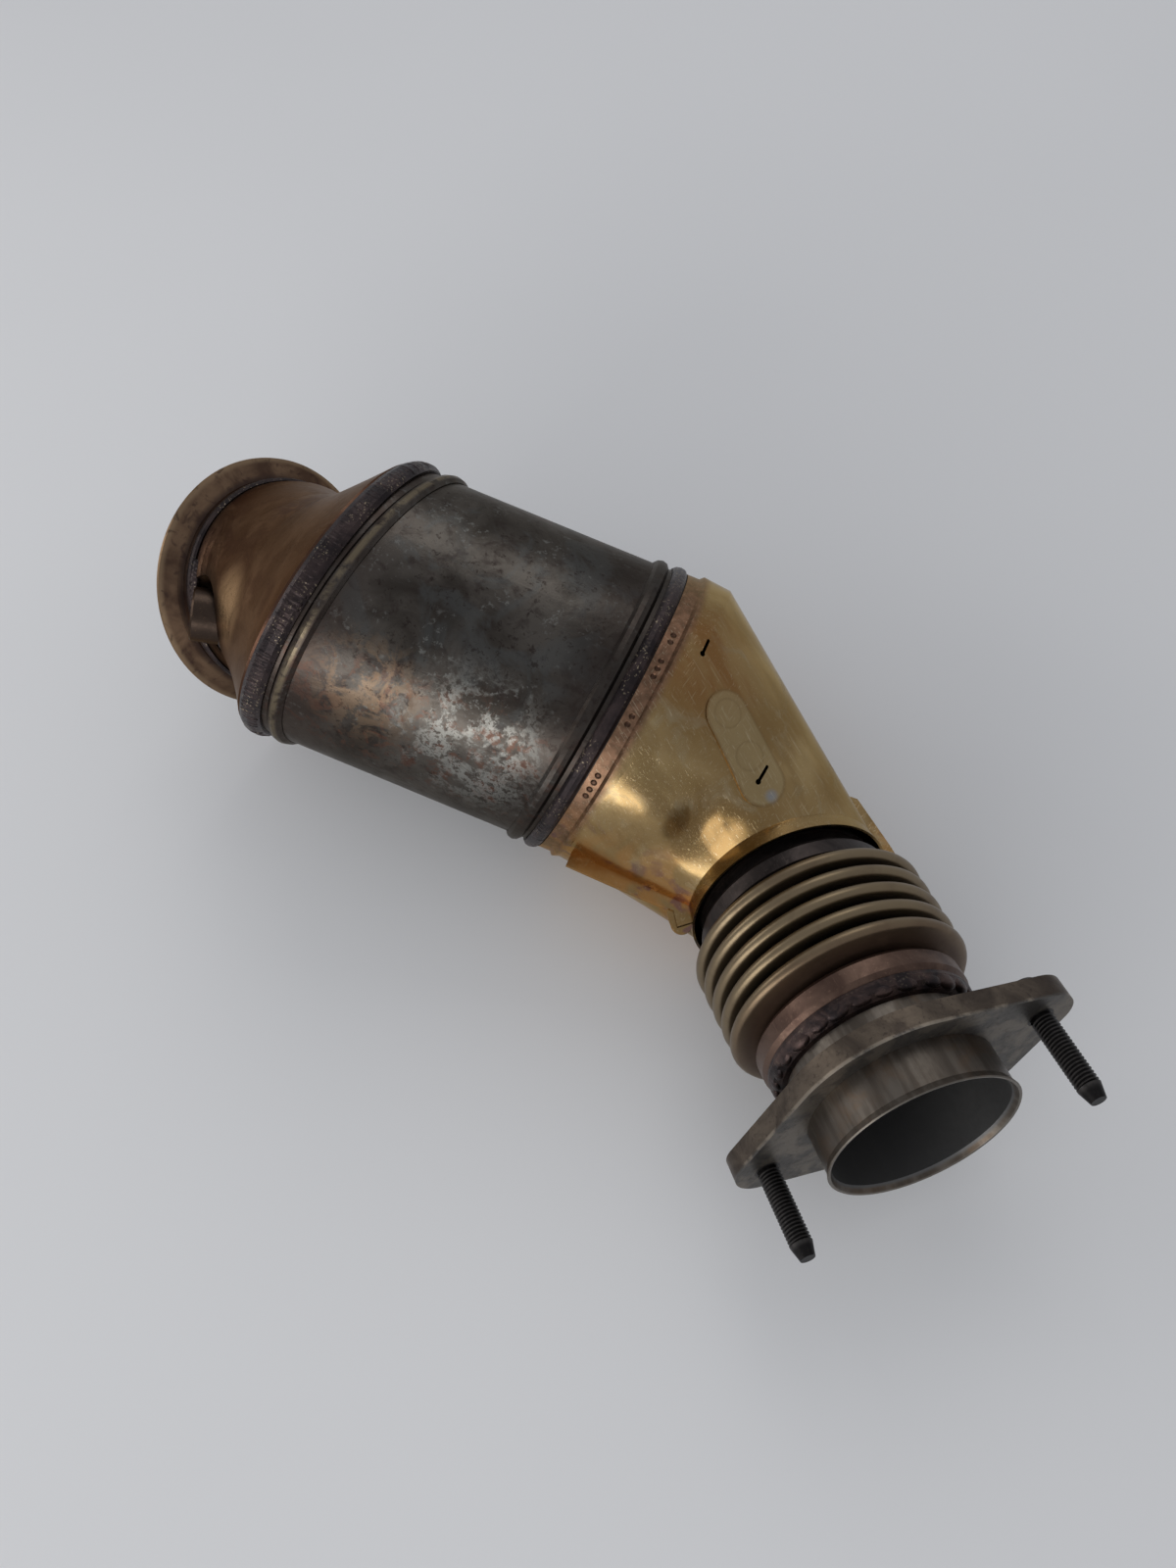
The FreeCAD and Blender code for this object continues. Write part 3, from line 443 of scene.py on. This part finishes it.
def bellows_finish():
    """Satin olive-bronze crests with painted shade in the dark roots."""
    f = Finish("bellows_bronze")
    off = f.off(mouth, outlet_axis)
    crest = f.step(off, 38.5, 43.8)
    cloud = f.noise(16, 4.0, 0.6, 0.4)
    fine = f.noise(1.6, 3.0, 0.6)
    # painted shade: the roots between the crests are darkened where shade falls
    colour = f.mix((0.030, 0.024, 0.018), (0.205, 0.156, 0.096), crest)
    colour = f.mix(colour, (0.130, 0.092, 0.058), f.step(cloud, 0.45, 0.68) * 0.55)
    brown = f.step(f.along(mouth, outlet_axis), -56, -47)
    colour = f.mix(colour, (0.120, 0.070, 0.046), brown * 0.75)
    rough = 0.30 + fine * 0.12 + (1 - crest) * 0.16
    normal = f.bump(fine, 0.02, 0.6, f.bump(cloud, 0.25, 0.4))
    return f.finish(colour, rough, 0.92, normal)


def tube_finish(name, dark, light, metallic=0.88):
    """Heat-tinted tube or plate, cloudy and lightly scored."""
    f = Finish(name)
    cloud = f.noise(13, 5.0, 0.6, 0.7)
    fine = f.noise(1.8, 4.0, 0.6)
    speck = f.step(f.noise(1.1, 2.0, 0.5), 0.62, 0.70)
    scores = f.scratches(outlet_axis, 14, 0.45, 0.35)
    colour = f.mix(dark, light, f.step(cloud, 0.32, 0.68))
    colour = f.mix(colour, tuple(min(1.0, 2.2 * c) for c in light), speck * 0.22 + scores * 0.18)
    normal = f.bump(fine, 0.05, 0.7, f.bump(cloud, 0.35, 0.4))
    return f.finish(colour, 0.30 + fine * 0.22 - scores * 0.05, metallic, normal)


def pipe_finish():
    """Outlet pipe: brown and streaked outside, plain grey inside, bright at its cut end."""
    f = Finish("pipe_brown")
    streaks = f.noise(4.5, 4.0, 0.6, 0.0, (outlet_axis, 9.0))
    cloud = f.noise(12, 4.0, 0.6, 0.6)
    fine = f.noise(1.6, 4.0, 0.6)
    colour = f.mix((0.076, 0.062, 0.050), (0.130, 0.112, 0.094), f.step(streaks, 0.36, 0.66))
    colour = f.mix(colour, (0.120, 0.080, 0.052), f.step(cloud, 0.46, 0.66) * 0.55)
    inside = 1 - f.step(f.off(mouth, outlet_axis), 31.6, 32.2)
    colour = f.mix(colour, (0.130, 0.130, 0.130), inside * 0.9)
    cut = f.step(f.along(mouth, outlet_axis), -0.5, -0.1)
    colour = f.mix(colour, (0.210, 0.195, 0.170), cut * 0.5)
    normal = f.bump(fine, 0.04, 0.6, f.bump(cloud, 0.2, 0.4))
    return f.finish(colour, 0.30 + fine * 0.20 + inside * 0.12, 0.88, normal)


def flange_finish():
    """Grey-brown plate, greyer on its front face, with a painted highlight along its front edge."""
    f = Finish("flange_grey")
    cloud = f.noise(11, 5.0, 0.6, 0.6)
    fine = f.noise(1.5, 4.0, 0.6)
    reach = f.along(mouth, outlet_axis)
    front = f.step(reach, -FLANGE_FACE_BACK - 1.2, -FLANGE_FACE_BACK - 0.2)
    colour = f.mix((0.056, 0.043, 0.034), (0.115, 0.090, 0.068), f.step(cloud, 0.34, 0.66))
    colour = f.mix(colour, (0.100, 0.098, 0.093), front * 0.65)
    colour = f.mix(colour, (0.040, 0.030, 0.026), f.step(fine, 0.55, 0.70) * 0.6)
    # painted highlight: a bright patchy line of reflected light along the front edge of the plate
    front_edge_highlight = 1 - f.step((reach + FLANGE_FACE_BACK + 0.6).size(), 0.3, 0.9)
    colour = f.mix(colour, (0.330, 0.280, 0.220), front_edge_highlight * f.step(cloud, 0.42, 0.58) * 0.5)
    normal = f.bump(fine, 0.07, 0.8, f.bump(cloud, 0.35, 0.4))
    return f.finish(colour, 0.34 + fine * 0.22, 0.86, normal)


def stud_finish():
    """Black stud with slightly worn thread crests."""
    f = Finish("stud_black")
    fine = f.noise(1.0, 3.0, 0.6)
    off = f.node("ShaderNodeMath", {"operation": "MINIMUM"},
                 f.off(outlet_place @ Vector((STUD_OFFSET * MM, 0, 0)), outlet_axis),
                 f.off(outlet_place @ Vector((-STUD_OFFSET * MM, 0, 0)), outlet_axis))
    colour = f.mix((0.007, 0.006, 0.006), (0.048, 0.044, 0.042), f.step(off, 3.4, 3.9))
    colour = f.mix(colour, (0.018, 0.016, 0.015), f.step(fine, 0.48, 0.66) * 0.6)
    return f.finish(colour, 0.38 + fine * 0.16, 0.75, f.bump(fine, 0.02, 0.7))


def brick_finish():
    """Honeycomb of small square cells, open towards the inlet, with painted shade in the cell
    openings.
    """
    f = Finish("brick_honeycomb")
    cell_pitch = 1.27
    edges = []
    for side in (heading(0, 1, 0), heading(0, 0, 1)):
        run = f.along(spot(0, 0, 0), side) / cell_pitch
        edges.append(1 - f.step(run.maths("PINGPONG", run, 0.5), 0.05, 0.12))
    wall = f.largest(edges)
    # painted shade: the openings of the cells are nearly black, the walls between them light
    colour = f.mix((0.020, 0.016, 0.012), (0.330, 0.270, 0.190), wall)
    return f.finish(colour, 0.85, 0.0, f.bump(wall, 0.6, 1.0))


def mat_finish():
    """Pale ceramic fibre."""
    f = Finish("mat_fibre")
    fibre = f.noise(1.4, 4.0, 0.7)
    return f.finish(f.mix((0.42, 0.39, 0.33), (0.62, 0.59, 0.52), fibre), 0.95, 0.0,
                    f.bump(fibre, 0.3, 0.8))


dark_tint = (0.052, 0.037, 0.036)
finishes = {
    "can": can_finish(),
    "inlet": inlet_finish(),
    "rim": rim_finish(),
    "ring_weld": weld_finish("ring_weld", dark_tint, 0.45),
    "rear_weld": weld_finish("rear_weld", (0.085, 0.055, 0.048), 0.10),
    "shield": shield_finish(),
    "bellows": bellows_finish(),
    "neck": tube_finish("neck_dark", (0.020, 0.016, 0.015), (0.048, 0.038, 0.035)),
    "collar": tube_finish("collar_brown", (0.066, 0.038, 0.029), (0.125, 0.078, 0.058)),
    "pipe": pipe_finish(),
    "flange": flange_finish(),
    "stud": stud_finish(),
    "brick": brick_finish(),
    "mat": mat_finish(),
}
node_finish = {
    "can_shell": "can", "inlet_vband_flange": "rim", "inlet_cone": "inlet",
    "sensor_boss": "inlet", "sensor_boss_weld": "ring_weld", "inlet_neck_weld": "ring_weld",
    "inlet_ring_weld": "ring_weld", "outlet_ring_weld": "ring_weld", "outlet_cone": "can",
    "heat_shield_upper": "shield", "heat_shield_lower": "shield", "neck_tube": "neck",
    "bellows": "bellows", "bellows_front_collar": "neck", "bellows_rear_collar": "collar",
    "bellows_rear_weld": "rear_weld", "flex_liner": "collar", "outlet_pipe": "pipe",
    "outlet_flange": "flange", "stud_left": "stud", "stud_right": "stud",
    "flange_weld": "rear_weld", "ceramic_brick": "brick", "mounting_mat": "mat",
}
for node, finish in node_finish.items():
    solid = bpy.data.objects[node]
    for slot in solid.material_slots:
        slot.material = finishes[finish]


# ------------------------------------------------------------------ pieces
def settle(piece, name, finish, place=None):
    """Give a new piece its name, place and finish, and make it part of the object."""
    piece.name = name
    piece.data.name = name
    if place is not None:
        piece.matrix_world = place
    bpy.ops.object.select_all(action="DESELECT")
    piece.select_set(True)
    bpy.context.view_layer.objects.active = piece
    bpy.ops.object.transform_apply(location=True, rotation=True, scale=True)
    bpy.ops.object.shade_smooth_by_angle(angle=math.radians(40))
    piece.data.materials.clear()
    piece.data.materials.append(finishes[finish])
    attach(piece, "root")
    return piece


def drawn_line(points):
    """Draw a line through (radius, height) pairs, and stay in edit mode."""
    bpy.ops.object.select_all(action="DESELECT")
    bpy.ops.mesh.primitive_plane_add(size=MM)
    piece = bpy.context.object
    bpy.ops.object.mode_set(mode="EDIT")
    bpy.ops.mesh.select_mode(type="VERT")
    bpy.ops.mesh.select_all(action="SELECT")
    bpy.ops.mesh.merge(type="CENTER")
    radius, height = points[0]
    bpy.ops.transform.translate(value=(radius * MM, 0, height * MM))
    for here, there in zip(points, points[1:]):
        move = ((there[0] - here[0]) * MM, 0, (there[1] - here[1]) * MM)
        bpy.ops.mesh.extrude_vertices_move(TRANSFORM_OT_translate={"value": move})
    return piece


def turned_piece(name, outline, place, finish, steps):
    """Turn a closed outline of (radius, height) pairs round the Z axis of a place."""
    piece = drawn_line(outline + outline[:1])
    bpy.ops.mesh.select_all(action="SELECT")
    bpy.ops.mesh.spin(steps=steps, angle=2 * math.pi, center=(0, 0, 0), axis=(0, 0, 1))
    bpy.ops.mesh.select_all(action="SELECT")
    bpy.ops.mesh.remove_doubles(threshold=1e-6)
    bpy.ops.mesh.normals_make_consistent(inside=False)
    bpy.ops.object.mode_set(mode="OBJECT")
    return settle(piece, name, finish, place)


def lump_chain(name, places, finish):
    """Row of squashed lumps, one for each matrix, joined as one weld."""
    bpy.ops.object.select_all(action="DESELECT")
    bpy.ops.mesh.primitive_ico_sphere_add(subdivisions=3, radius=1.0)
    first = bpy.context.object
    lumps = [first]
    for place in places[1:]:
        lump = first.copy()
        lump.data = first.data.copy()
        bpy.context.collection.objects.link(lump)
        lump.matrix_world = place
        lumps.append(lump)
    first.matrix_world = places[0]
    for lump in lumps:
        lump.select_set(True)
    bpy.context.view_layer.objects.active = first
    bpy.ops.object.join()
    return settle(first, name, finish)


def weld_places(ring, count, size, seed, lean=0.0, span=2 * math.pi):
    """Places of the lumps of a weld: ring gives a point, its outward and its axial direction."""
    chance = random.Random(seed)
    places = []
    for k in range(count):
        a = span * ((k + chance.uniform(-0.12, 0.12)) / count - 0.5)
        point, out, axial = ring(a)
        around = axial.cross(out)
        swell = chance.uniform(0.88, 1.08)
        over = (point + out * size[2] * swell * MM).z - cad_box[1].z + BOX_MARGIN * MM
        point = point - out * max(0.0, over)
        half = Matrix.Diagonal((size[0] * swell * MM, size[1] * swell * MM, size[2] * swell * MM))
        turned = Matrix((around, (axial + around * lean).normalized(), out)).transposed()
        places.append(Matrix.Translation(point) @ (turned @ half).to_4x4())
    return places


def outlet_ring(back, radius):
    """Ring round the outlet axis, some way back from the pipe mouth."""
    def at(a):
        out = outlet_place.to_3x3() @ Vector((math.cos(a), math.sin(a), 0))
        return mouth - outlet_axis * back * MM + out * radius * MM, out, outlet_axis
    return at


def neck_ring(back, radius, through):
    """Ring round the inlet axis, some way back from the flange face, starting beside a point."""
    centre = inlet_spot - inlet_axis * back * MM
    first = through - centre
    first = (first - inlet_axis * first.dot(inlet_axis)).normalized()
    side = inlet_axis.cross(first)

    def at(a):
        out = first * math.cos(a) + side * math.sin(a)
        return centre + out * radius * MM, out, inlet_axis
    return at


def bellows_outline():
    """Wall of the bellows with round crests and roots."""
    bend = BELLOWS_PITCH / 4
    crest = BELLOWS_CREST - BELLOWS_HALF_WALL - bend
    root = BELLOWS_ROOT + bend
    first = -LAST_CREST_BACK - (BELLOWS_CRESTS - 1) * BELLOWS_PITCH
    last = -LAST_CREST_BACK
    cuff = TUBE_RADIUS + SLEEVE_CLEARANCE + BELLOWS_HALF_WALL
    shoulder = BELLOWS_PITCH / 2 + SHOULDER
    arcs = 9

    def side(offset):
        line = [(cuff + offset, -FRONT_CUFF_BACK), (cuff + offset, first - shoulder)]
        for n in range(BELLOWS_CRESTS):
            middle = first + n * BELLOWS_PITCH
            over = bend + offset
            for k in range(arcs + 1):
                a = math.pi * (1 - k / arcs)
                line.append((crest + over * math.sin(a), middle + over * math.cos(a)))
            if n < BELLOWS_CRESTS - 1:
                valley = middle + BELLOWS_PITCH / 2
                under = bend - offset
                for k in range(1, arcs):
                    a = math.pi * (1 - k / arcs)
                    line.append((root - under * math.sin(a), valley + under * math.cos(a)))
        return line + [(cuff + offset, last + shoulder), (cuff + offset, -REAR_CUFF_BACK)]

    return side(BELLOWS_HALF_WALL) + side(-BELLOWS_HALF_WALL)[::-1]


bellows = turned_piece("bellows_convolutions", bellows_outline(), outlet_place, "bellows", 192)
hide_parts("bellows")

front_ring = can_ring(CAN_FRONT, FRONT_PLANE, CAN_RADIUS + 1.1)
front_ripples = weld_places(front_ring, 156, (1.7, 3.5, 1.70), 3, 0.35)
lump_chain("inlet_ring_ripples", front_ripples, "ring_weld")
back_ring = can_ring(CAN_BACK, BACK_PLANE, CAN_RADIUS + 0.9)
back_ripples = weld_places(back_ring, 156, (1.7, 2.4, 1.30), 4, 0.4)
lump_chain("outlet_ring_ripples", back_ripples, "ring_weld")

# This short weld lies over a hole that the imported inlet_cone has beside the sensor boss, and
# covers only part of it. The real part isn't known to have this weld.
pocket_ring = neck_ring(13.8, 45.0, spot(-86.1, -6.5, -26.2))
pocket_lumps = weld_places(pocket_ring, 13, (2.3, 2.6, 1.7), 7, 0.2, math.radians(30))
lump_chain("boss_pocket_weld", pocket_lumps, "ring_weld")

rear_lumps = weld_places(outlet_ring(35.6, 35.2), 27, (5.0, 3.3, 2.2), 5, 0.30)
lump_chain("bellows_rear_lumps", rear_lumps, "rear_weld")
flange_lumps = weld_places(outlet_ring(25.0, 33.8), 64, (2.0, 1.1, 1.2), 6, 0.2)
lump_chain("flange_weld_ripples", flange_lumps, "rear_weld")


def stud_piece(name, solid, sign):
    """One stud from head to point: pressed shank, threaded length and tapered point."""
    plate = 8.0
    pitch = 1.25
    crest = 3.95
    root = 3.3
    shank = 4.6
    reach = 31.0
    taper = 5.0
    rise, flat_end, foot = 0.45, 0.62, 1.07
    outline = [(0.0, -plate - 4.0), (5.3, -plate - 4.0), (6.5, -plate - 2.6), (6.5, -plate),
               (shank, -plate), (shank, 0.0), (root, 0.0), (root, reach - taper - 0.4),
               (crest, reach - taper), (2.6, reach), (0.0, reach)]
    on_flange = Matrix.Translation((sign * STUD_OFFSET * MM, 0, -FLANGE_FACE_BACK * MM))
    stand = outlet_place @ on_flange
    core = turned_piece(name + "_core", outline, stand, "stud", 48)
    turns = int((reach - taper) / pitch)
    thread = drawn_line([(root, 0.0), (crest, rise), (crest, flat_end), (root, foot), (root, pitch)])
    bpy.ops.object.mode_set(mode="OBJECT")
    wind = thread.modifiers.new("wind", "SCREW")
    wind.axis = "Z"
    wind.screw_offset = pitch * MM
    wind.iterations = turns
    wind.steps = 40
    wind.render_steps = 40
    wind.use_merge_vertices = True
    wind.merge_threshold = 1e-6
    bpy.ops.object.modifier_apply(modifier="wind")
    thread.matrix_world = stand
    bpy.ops.object.transform_apply(location=True, rotation=True, scale=True)
    bpy.ops.object.select_all(action="DESELECT")
    thread.select_set(True)
    core.select_set(True)
    bpy.context.view_layer.objects.active = core
    bpy.ops.object.join()
    stud = settle(core, name, "stud")
    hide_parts(solid)


stud_piece("stud_left_threaded", "stud_left", 1)
stud_piece("stud_right_threaded", "stud_right", -1)

# ------------------------------------------------------------- stage, light
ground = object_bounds()[0].z
bpy.ops.object.select_all(action="DESELECT")
bpy.ops.mesh.primitive_plane_add(size=8.0, location=(0, 0, ground))
floor = bpy.context.object
floor.name = "floor"
paper = Finish("paper_floor")
tone = paper.noise(420, 2.0, 0.5)
sheet_colour = paper.mix((0.74, 0.745, 0.755), (0.79, 0.795, 0.805), tone)
floor.data.materials.append(paper.finish(sheet_colour, 0.8, 0.0))

world = bpy.data.worlds.new("studio")
bpy.context.scene.world = world
world.use_nodes = True
sky = world.node_tree.nodes["Background"]
sky.inputs["Color"].default_value = (0.93, 0.95, 1.0, 1.0)
sky.inputs["Strength"].default_value = 0.50


def softbox(name, at, aim, width, height, power, colour):
    """Soft rectangular lamp."""
    lamp = bpy.data.lights.new(name, "AREA")
    lamp.shape = "RECTANGLE"
    lamp.size = width
    lamp.size_y = height
    lamp.energy = power
    lamp.color = colour
    holder = bpy.data.objects.new(name, lamp)
    bpy.context.collection.objects.link(holder)
    holder.location = at
    holder.rotation_euler = (Vector(aim) - Vector(at)).to_track_quat("-Z", "Y").to_euler()


softbox("back_window", (-0.20, 1.30, 1.50), (0, 0, 0.06), 1.0, 1.0, 4.0, (1.0, 0.99, 0.97))
softbox("front_window", (-0.15, -1.35, 0.42), (0, 0, 0.06), 1.3, 0.60, 8.0, (1.0, 0.99, 0.97))
softbox("left_window", (-1.20, -0.10, 0.45), (0, 0, 0.06), 0.6, 0.6, 2.2, (1.0, 0.98, 0.95))

# ------------------------------------------------------------------ camera
view = bpy.data.cameras.new("camera")
camera = bpy.data.objects.new("camera", view)
bpy.context.collection.objects.link(camera)
right = heading(0.9241, 0.3528, 0.1471)
forward = heading(-0.0183, 0.4251, -0.9050)
forward = (forward - right * forward.dot(right)).normalized()
above = right.cross(forward)
facing = Matrix((right, above, -forward)).transposed().to_4x4()
camera.matrix_world = Matrix.Translation(spot(106.5, -223.8, 405.0)) @ facing
view.sensor_width = 36.0
view.lens = 26.66
view.clip_start = 0.01
bpy.context.scene.camera = camera
bpy.context.scene.view_settings.view_transform = "Standard"
